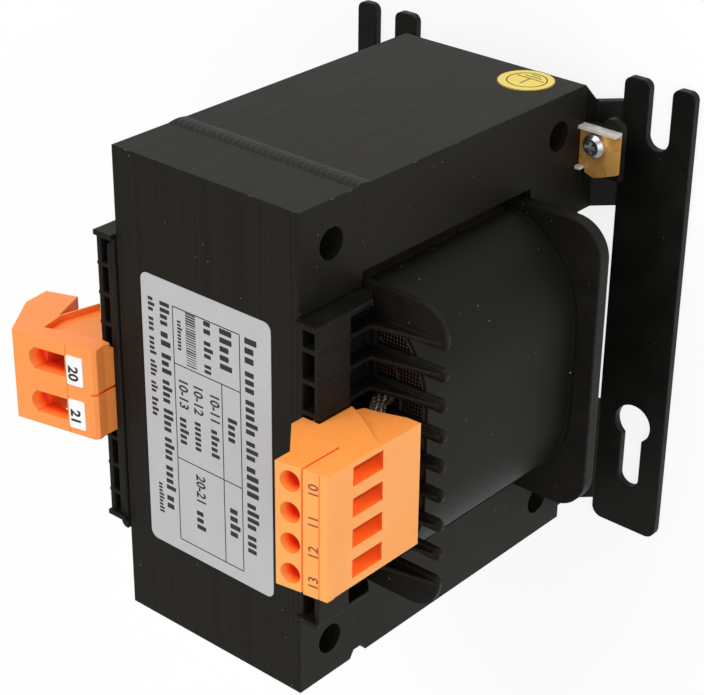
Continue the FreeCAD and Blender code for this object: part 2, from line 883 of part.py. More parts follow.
def two_deck(high):
    # Recess in the end face, with a thin rim along the notch
    under = two_bottom - past
    beyond = -two_hook_reach - past
    outline = out_and_up([
        (two_wall_foot - two_deck_rim, under), (two_apex_out - two_deck_rim, two_apex_height),
        (two_deck_top_out, two_deck_top_height), (two_deck_low_out, two_deck_low_height),
        (beyond, two_deck_low_height), (beyond, under)])
    return prism_x(outline, high - two_deck_drop, high + past)


def two_line(low, high):
    # Fine line across the front between the slots and the tags
    centre = rail_face + two_line_out
    height = rail_top + two_front_at(two_line_out)
    return block(low - past, high + past, centre - two_line_width / 2,
                 centre + two_line_width / 2, height - two_line_depth, height + past)


def two_split():
    # Shallow split in the inner front edge between the poles
    middle = two_centre
    inner = rail_face + two_front_inner
    return block(middle - two_split_width / 2, middle + two_split_width / 2, inner - past,
                 inner + two_split_depth, rail_top, rail_top + two_front_height + 2 * past)


def marker(x):
    # Tag lying on the two-pole block's sloped front
    slope = math.atan2(two_front_rise, two_front_outer - two_front_inner)
    centre = x - two_marker_shift
    tag = block(centre - two_marker_length / 2, centre + two_marker_length / 2,
                0, two_marker_width, 0, marker_thickness)
    tag = rounded(tag, marker_corner, upright)
    tag.rotate(V(0, 0, 0), V(1, 0, 0), math.degrees(slope))
    out = two_marker_inner
    tag.translate(V(0, rail_face + out, rail_top + two_front_at(out)))
    return tag


# Earth terminal

def earth_bracket():
    # Strip with a round tongue, welded to the near foot's tab, with a nut below
    inner = core_side + earth_gap
    outer = inner + bracket_width
    shoulder = earth_x + bracket_high_reach
    low = bracket_top - bracket_sheet
    plate = block(earth_x - bracket_low_reach, shoulder, inner, outer, low, bracket_top)
    nose_y = outer - bracket_nose_radius
    nose_x = shoulder + bracket_nose - bracket_nose_radius
    nose = rod_z(bracket_nose_radius, nose_x, nose_y, low, bracket_top)
    nut = rod_z(nut_radius, earth_x, core_side + earth_out, low - nut_height, low)
    thread = rod_z(earth_screw_shank / 2 + thread_gap, earth_x, core_side + earth_out,
                   0, core_back)
    return mirrored(joined([plate, nose, nut]).cut(thread))


def earth_clamp():
    # Steel clamp plate with an upturned lip and a small lug
    inner = core_side + earth_gap
    low = earth_x - clamp_lug_reach
    high = earth_x + clamp_lip_reach
    top = bracket_top + clamp_sheet
    plate = block(low, high, inner, inner + clamp_width, bracket_top, top)
    lip = block(high - clamp_sheet, high, inner, inner + clamp_lip_length,
                bracket_top, top + clamp_lip)
    lug = block(low, low + clamp_sheet, inner, inner + clamp_lug, bracket_top,
                top + clamp_lug_height)
    thread = rod_z(earth_screw_shank / 2 + earth_gap, earth_x, core_side + earth_out,
                   0, top + past)
    return mirrored(joined([plate, lip, lug]).cut(thread))


def earth_plate():
    # Brass plate under the screw head, its outer side bent down a little
    high = earth_x + clamp_lip_reach - clamp_sheet - thread_gap
    low = high - plate_length
    start = core_side + earth_gap
    base = bracket_top + clamp_sheet
    angle = math.radians(plate_wing_angle)
    bend = start + plate_flat
    wing_y = bend + plate_wing * math.cos(angle)
    fall = plate_wing * math.sin(angle)
    section = [(start, base), (bend, base), (wing_y, base - fall),
               (wing_y + plate_sheet * math.sin(angle), base - fall + plate_sheet * math.cos(angle)),
               (bend, base + plate_sheet), (start, base + plate_sheet)]
    body = prism_x(section, low, high)
    beside_lug = earth_x - clamp_lug_reach + clamp_sheet + part_gap
    over_lug = start + clamp_lug + part_gap
    outline = [(high, start), (high, wing_y + past), (low + plate_wing_cut, wing_y + past),
               (low, start + plate_tip_out), (low + plate_nick, over_lug),
               (beside_lug, over_lug), (beside_lug, start)]
    body = body.common(prism_z(outline, 0, core_front))
    thread = rod_z(earth_screw_shank / 2 + earth_gap, earth_x, core_side + earth_out,
                   0, core_front)
    return mirrored(body.cut(thread))


def earth_screw():
    # Pan-head screw with a cross recess
    seat = bracket_top + clamp_sheet + plate_sheet
    y = core_side + earth_out
    shank = rod_z(earth_screw_shank / 2, earth_x, y, seat - earth_screw_length, seat)
    head = rod_z(earth_screw_head / 2, earth_x, y, seat, seat + earth_screw_head_height)
    top = seat + earth_screw_head_height
    head = head.makeChamfer(earth_screw_head_bevel, [
        edge for edge in head.Edges if near(edge.CenterOfMass.z, top) and edge.Length > 1])
    recess = [block(earth_x - a / 2, earth_x + a / 2, y - b / 2, y + b / 2,
                    top - recess_depth, top + past)
              for a, b in ((recess_length, recess_width), (recess_width, recess_length))]
    return mirrored(joined([shank, head]).cut(recess))


# Label and sticker

def rating_label():
    plate = rounded_block(label_length / 2, label_width / 2, label_corner,
                          core_front, core_front + label_thickness)
    plate.translate(V(label_centre_x, label_centre_y, 0))
    return plate


def earth_sticker():
    return Part.makeCylinder(sticker_diameter / 2, sticker_thickness,
                             V(core_end, sticker_y, core_back + sticker_height), V(1, 0, 0))


def all_parts():
    near_foot = mirrored(foot())
    cover = coil_cover()
    parts = {
        "e_lamination_stack": e_lamination_stack(),
        "i_lamination_stack": i_lamination_stack(),
        "core_weld_earth_end": core_weld(1, -core_side, core_side),
        "core_weld_plain_end": core_weld(-1, -core_side + weld_run_out, core_side),
        "foot_near": near_foot,
        "foot_far": foot(),
        "foot_welds": Part.makeCompound(foot_weld_beads()),
        "bobbin": bobbin(),
        "coil_cover_near": mirrored(cover),
        "coil_cover_far": cover,
        "four_pole_housing": four_pole_housing(),
        "two_pole_housing": two_pole_housing(),
        "earth_bracket": earth_bracket(),
        "earth_clamp": earth_clamp(),
        "earth_plate": earth_plate(),
        "earth_screw": earth_screw(),
        "rating_label": rating_label(),
        "earth_sticker": earth_sticker(),
    }
    for name, (inner, outer) in zip(layer_names, layer_surfaces()[0]):
        parts[name] = ring(inner, outer)
    for terminal, screws in ((four_pole, "four_pole_screws"), (two_pole, "two_pole_screws")):
        parts[screws] = Part.makeCompound([terminal.screw(x) for x in terminal.poles])
        for name, x, slot in zip(terminal.names, terminal.poles, terminal.slots):
            parts["terminal_clamp_" + name] = terminal.clamp(x)
            parts["contact_tail_" + name] = terminal.tail(x)
            parts["lead_" + name] = terminal.lead(x, slot)
    for name, x in zip(two_pole.names, two_pole.poles):
        parts["marker_" + name] = marker(x)
    return parts


for node, shape in all_parts().items():
    if not shape.isValid():
        print("not valid:", node)
    shape.exportStep("parts/" + node + ".step")
    print(node, len(shape.Solids), round(shape.Volume, 1))
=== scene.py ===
import json
import math
import random

import bpy
from mathutils import Matrix, Vector


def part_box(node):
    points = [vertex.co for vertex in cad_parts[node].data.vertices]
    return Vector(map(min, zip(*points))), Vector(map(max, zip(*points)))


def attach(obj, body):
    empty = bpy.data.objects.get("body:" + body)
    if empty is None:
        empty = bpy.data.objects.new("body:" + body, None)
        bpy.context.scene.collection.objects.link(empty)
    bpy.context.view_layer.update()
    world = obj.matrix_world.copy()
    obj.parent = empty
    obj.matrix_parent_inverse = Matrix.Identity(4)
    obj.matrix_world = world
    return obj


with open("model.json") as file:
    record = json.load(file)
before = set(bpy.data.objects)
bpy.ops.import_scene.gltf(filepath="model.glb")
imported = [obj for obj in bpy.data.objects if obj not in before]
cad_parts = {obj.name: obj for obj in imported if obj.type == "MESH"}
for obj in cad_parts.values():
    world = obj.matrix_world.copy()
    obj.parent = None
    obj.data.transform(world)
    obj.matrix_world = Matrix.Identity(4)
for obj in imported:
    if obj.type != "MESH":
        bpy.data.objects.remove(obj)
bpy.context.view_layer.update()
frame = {"nodes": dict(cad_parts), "record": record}
nodes = frame["nodes"]
mm = 0.001
print("frame loaded:", len(nodes), "nodes")


# Shader maths written as plain expressions
class Wire:
    def __init__(self, finish, socket):
        self.finish = finish
        self.socket = socket

    def maths(self, operation, first, second=0.0):
        return self.finish.node("ShaderNodeMath", {"operation": operation}, [first, second])

    def __add__(self, other):
        return self.maths("ADD", self, other)

    def __radd__(self, other):
        return self.maths("ADD", other, self)

    def __sub__(self, other):
        return self.maths("SUBTRACT", self, other)

    def __rsub__(self, other):
        return self.maths("SUBTRACT", other, self)

    def __mul__(self, other):
        return self.maths("MULTIPLY", self, other)

    def __rmul__(self, other):
        return self.maths("MULTIPLY", other, self)

    def __truediv__(self, other):
        return self.maths("DIVIDE", self, other)

    def __abs__(self):
        return self.maths("ABSOLUTE", self)

    def floor(self):
        return self.maths("FLOOR", self)

    def wave(self):
        return self.maths("SINE", self)

    def above(self, level):
        return self.maths("GREATER_THAN", self, level)

    def larger(self, other):
        return self.maths("MAXIMUM", self, other)

    def angle(self, sideways):           # angle of a point this far out and that far sideways
        return self.maths("ARCTAN2", self, sideways)

    def rise(self, low, high):           # 0 below low, 1 above high, smooth between
        return self.finish.node("ShaderNodeMapRange", {"interpolation_type": "SMOOTHSTEP"},
                                {"Value": self, "From Min": low, "From Max": high})


# Noise scales, such as grain, drift or mottle, are cells to a metre. A share is how much of
# something is mixed in, and a Rise is where a pattern starts and where it is complete
noiseRough = 0.55                        # weight of the fine steps in every noise
edgeSamples = 6                          # rays that find a soft edge
specks = {                               # scale, share of cells with a speck, its soft edge
    "large": (230.0, 0.08, (0.025, 0.06)),
    "fine": (560.0, 0.1, (0.05, 0.11)),
    "onWeld": (450.0, 0.05, (0.05, 0.12)),
    "largeShare": 0.8, "fineShare": 0.5,
}


class Finish:                            # one procedural material
    def __init__(self, name):
        self.material = bpy.data.materials.new(name)
        self.material.use_nodes = True
        self.tree = self.material.node_tree
        self.shader = self.tree.nodes["Principled BSDF"]
        self.place = self.node("ShaderNodeTexCoord", out="Object")

    def node(self, kind, settings=None, values=None, out=0): # settings first, then sockets
        made = self.tree.nodes.new(kind)
        for key, value in (settings or {}).items():
            setattr(made, key, value)
        pairs = values.items() if isinstance(values, dict) else enumerate(values or [])
        for key, value in pairs:
            self.feed(made.inputs[key], value)
        return Wire(self, made.outputs[out])

    def feed(self, socket, value):
        if isinstance(value, Wire):
            self.tree.links.new(value.socket, socket)
        elif isinstance(value, tuple) and len(value) == 3 and socket.type == "RGBA":
            socket.default_value = (*value, 1.0)
        else:
            socket.default_value = value

    def noise(self, scale, detail=3.0, stretch=None):
        place = self.place
        if stretch:
            place = self.node("ShaderNodeMapping", {}, {"Vector": place, "Scale": stretch})
        return self.node("ShaderNodeTexNoise", {},
                         {"Vector": place, "Scale": scale, "Detail": detail,
                          "Roughness": noiseRough})

    def along(self, axis):               # place on one axis: 0 for X, 1 for Y, 2 for Z
        return self.node("ShaderNodeSeparateXYZ", {}, {"Vector": self.place}, axis)

    def flat(self):
        return self.node("ShaderNodeNewGeometry", out="Normal")

    def facing(self, axis):              # how far a surface faces along one axis
        return self.node("ShaderNodeSeparateXYZ", {}, {"Vector": self.flat()}, axis)

    def blend(self, amount, first, second):
        return self.node("ShaderNodeMix", {"data_type": "RGBA"},
                         {"Factor": amount, 6: first, 7: second}, 2)

    def softEdges(self, radius):         # rounds sharp edges a little for the light
        return self.node("ShaderNodeBevel", {"samples": edgeSamples}, {"Radius": radius})

    def relief(self, height, look):      # bumps, over softened edges where the look has them
        values = {"Height": height, "Distance": look["relief"], "Strength": look["strength"]}
        if "soft" in look:
            values["Normal"] = self.softEdges(look["soft"])
        return self.node("ShaderNodeBump", {}, values)

    def worn(self, look):                # 1 on outer edges, broken up by noise: worn paint and a painted highlight along edges
        soft = self.softEdges(look["wearAndHighlightEdge"])
        turn = self.node("ShaderNodeVectorMath", {"operation": "DOT_PRODUCT"},
                         [soft, self.flat()], "Value")
        chips = self.noise(look["chips"]).rise(*look["chipRise"])
        return (1.0 - turn).rise(*look["wearAndHighlightRise"]) * chips

    def speckle(self, scale, share, edge):                   # sparse dots, one to a cell at most
        values = {"Vector": self.place, "Scale": scale}
        cells = self.node("ShaderNodeTexVoronoi", {}, values, "Distance")
        pick = self.node("ShaderNodeTexVoronoi", {}, values, "Color")
        chosen = self.node("ShaderNodeSeparateColor", {}, {"Color": pick})
        return (1.0 - cells.rise(*edge)) * chosen.above(1.0 - share)

    def dusty(self, tone, look):         # a few larger specks and many fine ones
        dust = (self.speckle(*specks["large"]) * specks["largeShare"]
                + self.speckle(*specks["fine"]) * specks["fineShare"])
        return self.blend(dust * look["dustShare"], tone, look["dust"])

    # lighter edges, both wear and painted highlight, then dust
    def aged(self, tone, look):
        tone = self.blend(self.worn(look) * look["wearAndHighlightShare"], tone, look["edge"])
        return self.dusty(tone, look)

    def set(self, **values):
        for key, value in values.items():
            self.feed(self.shader.inputs[key.replace("_", " ")], value)
        return self.material

    def setBlack(self, look, tone, rough, height):           # dark paint under warm lamps
        self.set(Specular_IOR_Level=look["shine"], Specular_Tint=warmShine)
        return self.set(Base_Color=tone, Roughness=rough, Normal=self.relief(height, look))


screenCurve = {"knee": 11, "foot": 12.92, "offset": 0.055, "power": 2.4}


def colour(red, green, blue):            # screen values to the shader's own scale
    lift = screenCurve["offset"]
    return tuple(v / (255 * screenCurve["foot"]) if v < screenCurve["knee"]
                 else ((v / 255 + lift) / (1 + lift)) ** screenCurve["power"]
                 for v in (red, green, blue))


warmShine = (1.0, 0.94, 0.87)            # tint of the shine on all that is black

corePaint = {
    "base": colour(20, 19, 14), "line": colour(31, 29, 23), "joint": colour(8, 8, 7),
    # edge: lighter tone on edges, partly worn paint and partly a painted highlight
    "edge": colour(130, 126, 120), "dust": colour(180, 176, 168),
    "sheet": 0.5 * mm,                   # thickness of one lamination
    "jointRise": (0.0, 0.5), "sideRise": (0.3, 0.7),
    "sheetShare": 0.7, "driftShare": 0.3, "jointShare": 0.6, "wearAndHighlightShare": 0.8, "dustShare": 0.8,
    "drift": 60.0, "driftStretch": (1.0, 14.0, 1.0), "grain": 700.0,
    "rough": 0.46, "roughShare": 0.12, "shine": 0.15,
    "wearAndHighlightEdge": 0.5 * mm, "wearAndHighlightRise": (0.05, 0.25), "chips": 330.0, "chipRise": (0.6, 0.68),
    "soft": 0.3 * mm, "relief": 0.06 * mm, "strength": 0.5,
    "sheetStep": 0.4, "sheetHeight": 0.5, "grainHeight": 0.35,
}


def makeCorePaint():                     # painted sheets, their edges showing as fine lines
    look = corePaint
    f = Finish("corePaint")
    across = f.along(1) / look["sheet"]
    number = f.node("ShaderNodeTexWhiteNoise", {"noise_dimensions": "1D"},
                    {"W": across.floor()}, "Value")
    joint = 1.0 - abs((across * math.pi).wave()).rise(*look["jointRise"])
    onEdges = 1.0 - abs(f.facing(1)).rise(*look["sideRise"])
    lines = joint * onEdges
    drift = f.noise(look["drift"], stretch=look["driftStretch"])
    mix = number * onEdges * look["sheetShare"] + drift * look["driftShare"]
    tone = f.blend(mix, look["base"], look["line"])
    tone = f.blend(lines * look["jointShare"], tone, look["joint"])
    tone = f.aged(tone, look)
    sheets = (number * look["sheetStep"] - joint) * onEdges * look["sheetHeight"]
    height = sheets + f.noise(look["grain"], detail=4.0) * look["grainHeight"]
    rough = look["rough"] + drift * look["roughShare"] + lines * look["roughShare"]
    return f.setBlack(look, tone, rough, height)


footPaint = {
    # edge: lighter tone on edges, partly worn paint and partly a painted highlight
    "base": colour(15, 15, 13), "light": colour(22, 22, 20), "edge": colour(70, 69, 64),
    "dust": colour(150, 148, 142),
    "mottle": 110.0, "mottleRise": (0.35, 0.7), "mottleShare": 0.6,
    "wearAndHighlightShare": 0.5, "dustShare": 0.6, "rough": 0.42, "roughShare": 0.12, "shine": 0.16,
    "wearAndHighlightEdge": 0.6 * mm, "wearAndHighlightRise": (0.05, 0.3), "chips": 500.0, "chipRise": (0.5, 0.66),
    "soft": 0.5 * mm, "relief": 0.05 * mm, "strength": 0.35,
    "finePeel": 900.0, "broadPeel": 240.0, "peelHeight": 0.6,
}


def makeFootPaint():
    look = footPaint
    f = Finish("footPaint")
    mottle = f.noise(look["mottle"], detail=4.0).rise(*look["mottleRise"])
    tone = f.blend(mottle * look["mottleShare"], look["base"], look["light"])
    tone = f.aged(tone, look)
    peel = (f.noise(look["finePeel"], detail=2.0) * look["peelHeight"]
            + f.noise(look["broadPeel"], detail=2.0) * look["peelHeight"])
    return f.setBlack(look, tone, look["rough"] + mottle * look["roughShare"], peel)


weldBead = {
    "base": colour(20, 19, 15), "light": colour(30, 28, 24), "spot": colour(190, 186, 178),
    "joint": float(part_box("i_lamination_stack")[0][2]),
    "ripple": 1.7 * mm, "sway": 0.9 * mm, "swayScale": 300.0,
    "bow": 260.0,                        # how far a ripple lags, by its distance squared
    "rippleRise": (-0.6, 1.0), "rippleShare": 0.4, "spotShare": 0.6,
    "rough": 0.46, "roughShare": 0.08, "shine": 0.12,
    "relief": 0.1 * mm, "strength": 0.22, "rippleHeight": 0.5,
    "grain": 500.0, "grainHeight": 0.6,
}


def makeWeldBead():                      # painted bead with bowed ripples along the stack
    look = weldBead
    f = Finish("weldBead")
    fromJoint = f.along(2) - look["joint"]
    sway = f.noise(look["swayScale"]) * look["sway"]
    bowed = f.along(1) + fromJoint * fromJoint * look["bow"] + sway
    ripple = (bowed * (2 * math.pi / look["ripple"])).wave()
    tone = f.blend(ripple.rise(*look["rippleRise"]) * look["rippleShare"],
                   look["base"], look["light"])
    tone = f.blend(f.speckle(*specks["onWeld"]) * look["spotShare"], tone, look["spot"])
    height = ripple * look["rippleHeight"] + f.noise(look["grain"]) * look["grainHeight"]
    return f.setBlack(look, tone, look["rough"] + ripple * look["roughShare"], height)


bobbinTint = {
    # edge: lighter tone on edges, partly worn paint and partly a painted highlight
    "base": colour(18, 17, 15), "light": colour(28, 26, 23), "edge": colour(72, 68, 62),
    "dust": colour(160, 156, 148),
    "mottle": 150.0, "mottleRise": (0.35, 0.75), "mottleShare": 0.6,
    "wearAndHighlightShare": 0.45, "dustShare": 0.7, "rough": 0.48, "roughShare": 0.1, "shine": 0.16,
    "wearAndHighlightEdge": 0.35 * mm, "wearAndHighlightRise": (0.04, 0.25), "chips": 700.0, "chipRise": (0.45, 0.65),
    "soft": 0.8 * mm, "relief": 0.03 * mm, "strength": 0.4, "grain": 1600.0,
}


def makeBobbinPlastic():
    look = bobbinTint
    f = Finish("bobbinPlastic")
    mottle = f.noise(look["mottle"], detail=5.0).rise(*look["mottleRise"])
    tone = f.blend(mottle * look["mottleShare"], look["base"], look["light"])
    tone = f.aged(tone, look)
    rough = look["rough"] + mottle * look["roughShare"]
    return f.setBlack(look, tone, rough, f.noise(look["grain"]))


coverTint = {
    "base": colour(19, 19, 16), "light": colour(28, 28, 24), "dust": colour(190, 188, 180),
    "cloud": 28.0, "cloudStretch": (1.0, 1.0, 0.6), "cloudRise": (0.3, 0.75),
    "cloudShare": 0.5, "dustShare": 0.8,
    "rough": 0.44, "fineRough": 0.12, "cloudRough": 0.08, "shine": 0.14,
    "relief": 0.07 * mm, "strength": 0.45, "fine": 1200.0, "fineHeight": 0.25,
    "dents": 45.0, "dentHeight": 3.0,
}


def makeCoverSheet():
    look = coverTint
    f = Finish("coverSheet")
    cloud = f.noise(look["cloud"], stretch=look["cloudStretch"]).rise(*look["cloudRise"])
    fine = f.noise(look["fine"])
    tone = f.dusty(f.blend(cloud * look["cloudShare"], look["base"], look["light"]), look)
    rough = look["rough"] + fine * look["fineRough"] + cloud * look["cloudRough"]
    dents = f.noise(look["dents"], detail=2.0) * look["dentHeight"]
    return f.setBlack(look, tone, rough, dents + fine * look["fineHeight"])


orange = {
    # painted light in holes and on the ends: rim and inside are deeper, redder tones painted
    # where shade falls in holes and pockets, and the three glow colours are painted light
    "rim": colour(255, 124, 42), "inside": colour(230, 38, 6),
    "rimLight": colour(112, 48, 12), "paintedInsideGlow": colour(56, 14, 3),
    "paintedEndGlow": colour(104, 46, 16), "noLight": (0.0, 0.0, 0.0),
    "shelter": 12.0 * mm, "shelterSamples": 8,
    # painted shade and glow in holes: where the rim's tone and the inside's start and are
    # complete, by each measure
    "rimShelter": (0.12, 0.5), "rimUnder": (0.9 * mm, 1.9 * mm),
    "redShelter": (0.35, 0.8), "redUnder": (1.2 * mm, 3.4 * mm),
    "redBehind": (3.5 * mm, 10.0 * mm), "endRise": (0.6, 0.95),
    "flow": 90.0, "flowRise": (0.3, 0.8), "flowShare": 0.35, "endShadeShare": 0.6,
    "glow": 0.35, "reach": 2.4 * mm, "spread": (1.0, 0.3, 0.06),
    "rough": 0.42, "roughShare": 0.1,
    "soft": 0.3 * mm, "relief": 0.02 * mm, "strength": 0.4, "grain": 1500.0,
}
fourPoleBlock = {                        # two points (y, z) of the sloped top and the outer face
    "top": ((-36.7 * mm, 129.0 * mm), (-49.4 * mm, 127.0 * mm)), "outer": -49.4 * mm,
    # tones: the sides' orange, and a deeper one that the flow noise mixes in and the end faces
    # take as painted shade
    "tones": (colour(255, 168, 86), colour(254, 154, 66)),
}
twoPoleBlock = {
    "top": ((28.8 * mm, 118.9 * mm), (51.5 * mm, 123.7 * mm)), "outer": 60.7 * mm,
    # tones: the sides' orange, and a deeper one that the flow noise mixes in and the end faces
    # take as painted shade
    "tones": (colour(250, 151, 74), colour(250, 141, 60)),
}


def makeTerminalPlastic(name, block):    # light inside a hole comes out redder; painted here as deeper, redder tones and a glow in holes and pockets
    look = orange
    f = Finish(name)
    (yA, zA), (yB, zB) = block["top"]
    slope = (zB - zA) / (yB - yA)
    under = f.along(1) * slope - f.along(2) + (zA - slope * yA)   # depth under the sloped top
    behind = abs(f.along(1) - block["outer"])                     # depth behind the outer face
    openness = f.node("ShaderNodeAmbientOcclusion",
                      {"samples": look["shelterSamples"], "only_local": True},
                      {"Distance": look["shelter"]}, "AO")
    shelter = 1.0 - openness
    # painted shade in holes: the deeper rim tone, then the red inside tone
    rim = shelter.rise(*look["rimShelter"]) * under.rise(*look["rimUnder"])
    red = (shelter.rise(*look["redShelter"]) * under.rise(*look["redUnder"])
           * behind.rise(*look["redBehind"]))
    flow = f.noise(look["flow"]).rise(*look["flowRise"])
    # painted shade and light by facing: the end faces take the deeper tone and a painted glow
    ends = abs(f.facing(0)).rise(*look["endRise"])
    tone = f.blend(flow * look["flowShare"] + ends * look["endShadeShare"], *block["tones"])
    tone = f.blend(red, f.blend(rim, tone, look["rim"]), look["inside"])
    # painted glow: an emission standing for light on the end faces and coming out of holes
    light = f.blend(ends, look["noLight"], look["paintedEndGlow"])
    light = f.blend(red, f.blend(rim, light, look["rimLight"]), look["paintedInsideGlow"])
    f.set(Subsurface_Weight=look["glow"], Subsurface_Scale=look["reach"],
          Subsurface_Radius=look["spread"], Emission_Strength=1.0)
    return f.set(Base_Color=tone, Roughness=look["rough"] + flow * look["roughShare"],
                 Emission_Color=light, Normal=f.relief(f.noise(look["grain"]), look))


metalWear = {
    "stain": 420.0, "stainRise": (0.35, 0.75), "stainShare": 0.7, "stainRough": 0.15,
    "spot": colour(92, 62, 36), "spots": 700.0, "spotRise": (0.62, 0.72), "spotShare": 0.7,
    "brush": 2600.0, "brushRough": 0.08, "soft": 0.15 * mm, "relief": 0.015 * mm, "strength": 0.5,
}
screwSteel = {"bright": colour(205, 207, 211), "dull": colour(160, 162, 166), "rough": 0.2,
              "metallic": 1.0, "brushStretch": None}
plainBrass = {"bright": colour(240, 184, 98), "dull": colour(206, 140, 62), "rough": 0.34,
              "metallic": 0.6, "brushStretch": (1.0, 8.0, 1.0)}
zincPlate = {"bright": colour(236, 230, 222), "dull": colour(205, 198, 190), "rough": 0.42,
             "metallic": 0.35, "brushStretch": None}


def makeMetal(name, metal):
    wear = metalWear
    f = Finish(name)
    stain = f.noise(wear["stain"], detail=4.0).rise(*wear["stainRise"])
    brushed = f.noise(wear["brush"], detail=2.0, stretch=metal["brushStretch"])
    spots = f.noise(wear["spots"]).rise(*wear["spotRise"])
    tone = f.blend(stain * wear["stainShare"], metal["bright"], metal["dull"])
    tone = f.blend(spots * wear["spotShare"], tone, wear["spot"])
    rough = metal["rough"] + stain * wear["stainRough"] + brushed * wear["brushRough"]
    f.set(Metallic=metal["metallic"])
    return f.set(Base_Color=tone, Roughness=rough, Normal=f.relief(brushed, wear))


copperTurns = {
    "wire": 0.9 * mm, "bright": colour(84, 36, 22), "dull": colour(18, 10, 8),
    "rowRise": (0.5, 1.0), "fine": 260.0, "fineRise": (0.45, 0.7),
    "broad": 90.0, "broadRise": (0.4, 0.6),
    "metallic": 0.8, "varnish": 0.3, "roughShare": 0.1, "relief": 0.3 * mm, "strength": 0.8,
}


def makeCopperTurns():                   # varnished layers of round wire seen on their ends
    look = copperTurns
    f = Finish("copperTurns")
    step = math.pi / look["wire"]
    rows = abs((f.along(1) * step).wave()) * abs((f.along(0) * step).wave())
    fine = f.noise(look["fine"]).rise(*look["fineRise"])
    broad = f.noise(look["broad"]).rise(*look["broadRise"])
    glint = rows.rise(*look["rowRise"]) * fine * broad
    return f.set(Base_Color=f.blend(glint, look["dull"], look["bright"]),
                 Metallic=glint * look["metallic"],
                 Roughness=look["varnish"] + rows * look["roughShare"],
                 Normal=f.relief(rows, look))


windingPaper = {
    "light": colour(60, 50, 36), "dark": colour(38, 31, 22),
    "fibre": 1400.0, "fibreStretch": (1.0, 1.0, 0.3), "fibreRise": (0.3, 0.7),
    "rough": 0.6, "roughShare": 0.1, "relief": 0.04 * mm, "strength": 0.5,
}


def makeWindingPaper():
    look = windingPaper
    f = Finish("windingPaper")
    fibre = f.noise(look["fibre"], detail=5.0, stretch=look["fibreStretch"])
    tone = f.blend(fibre.rise(*look["fibreRise"]), look["light"], look["dark"])
    return f.set(Base_Color=tone, Roughness=look["rough"] + fibre * look["roughShare"],
                 Normal=f.relief(fibre, look))


filmTones = {                            # light tone, dark tone, roughness
    "markerWhite": (colour(244, 243, 242), colour(236, 235, 234), 0.4),
    "labelFoil": (colour(184, 184, 185), colour(176, 176, 178), 0.42),
    "stickerYellow": (colour(236, 210, 80), colour(228, 198, 62), 0.34),
    "blackInk": (colour(30, 28, 31), colour(46, 44, 46), 0.45),
    "brownInk": (colour(132, 54, 20), colour(150, 70, 28), 0.5),
}
printFilm = {
    "patch": 160.0, "patchRise": (0.3, 0.8), "patchShare": 0.5,
    "grain": 2200.0, "roughShare": 0.12, "relief": 0.01 * mm, "strength": 0.5,
}


def makePrint(name):                     # ink, label stock and sticker film
    look = printFilm
    light, dark, rough = filmTones[name]
    f = Finish(name)
    patch = f.noise(look["patch"], detail=4.0).rise(*look["patchRise"])
    grain = f.noise(look["grain"], detail=2.0)
    return f.set(Base_Color=f.blend(patch * look["patchShare"], light, dark),
                 Roughness=rough + grain * look["roughShare"], Normal=f.relief(grain, look))


braid = {
    "thread": colour(84, 68, 50), "light": colour(206, 194, 170), "gap": colour(15, 13, 11),
    "strands": 10, "lay": 3000.0,        # threads each way and their turn along the lead
    "pickRise": (-0.4, 0.4), "threadRise": (-0.2, 0.8),
    "lightRise": (0.3, 1.0), "fuzz": 900.0, "fuzzRise": (0.45, 0.6), "lightShare": 0.8,
    "rough": 0.55, "roughShare": 0.15, "relief": 0.2 * mm, "strength": 0.8,
}


def makeBraid(name, centre):             # crossing threads round a lead
    look = braid
    f = Finish(name)
    turn = (f.along(1) - centre[1]).angle(f.along(0) - centre[0]) * look["strands"]
    rise = f.along(2) * look["lay"]
    one = (turn + rise).wave()
    two = (turn - rise).wave()
    weave = one.larger(two)
    pick = (one - two).rise(*look["pickRise"])
    fuzz = f.noise(look["fuzz"]).rise(*look["fuzzRise"])
    light = pick * weave.rise(*look["lightRise"]) * fuzz
    tone = f.blend(weave.rise(*look["threadRise"]), look["gap"], look["thread"])
    tone = f.blend(light * look["lightShare"], tone, look["light"])
    return f.set(Base_Color=tone, Roughness=look["rough"] + pick * look["roughShare"],
                 Normal=f.relief(weave, look))


finishes = {                             # one for each slot of the record
    "lamination_black": makeCorePaint(), "foot_black": makeFootPaint(),
    "bobbin_black": makeBobbinPlastic(), "cover_black": makeCoverSheet(),
    "weld_black": makeWeldBead(), "copper_winding": makeCopperTurns(),
    "insulation": makeWindingPaper(), "steel": makeMetal("screwSteel", screwSteel),
    "brass": makeMetal("plainBrass", plainBrass), "marker_white": makePrint("markerWhite"),
    "label_silver": makePrint("labelFoil"), "sticker_yellow": makePrint("stickerYellow"),
}
fourPole = makeTerminalPlastic("fourPolePlastic", fourPoleBlock)
special = {                              # nodes that don't take their slot's finish
    "earth_clamp": makeMetal("zincPlate", zincPlate), "four_pole_housing": fourPole,
    "two_pole_housing": makeTerminalPlastic("twoPolePlastic", twoPoleBlock),
}
ink = makePrint("blackInk")
brownInk = makePrint("brownInk")
print("materials made:", len(finishes) + len(special) + 2)

slotOf = {row["node"]: row["material_slot"] for row in frame["record"]["subparts"]}
for name, piece in nodes.items():
    slotName = slotOf[name]
    piece.data.materials.clear()
    if slotName == "sleeve":
        low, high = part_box(name)
        piece.data.materials.append(makeBraid("braid_" + name, (low + high) / 2))
    else:
        piece.data.materials.append(special.get(name) or finishes[slotName])
print("CAD nodes finished")


# Steps that several pieces share
def settle(piece, place=(0, 0, 0), turn=(0, 0, 0)):          # moves the place into the mesh
    bpy.ops.object.select_all(action="DESELECT")
    piece.select_set(True)
    bpy.context.view_layer.objects.active = piece
    piece.location = place
    piece.rotation_euler = turn
    bpy.ops.object.transform_apply(location=True, rotation=True, scale=True)


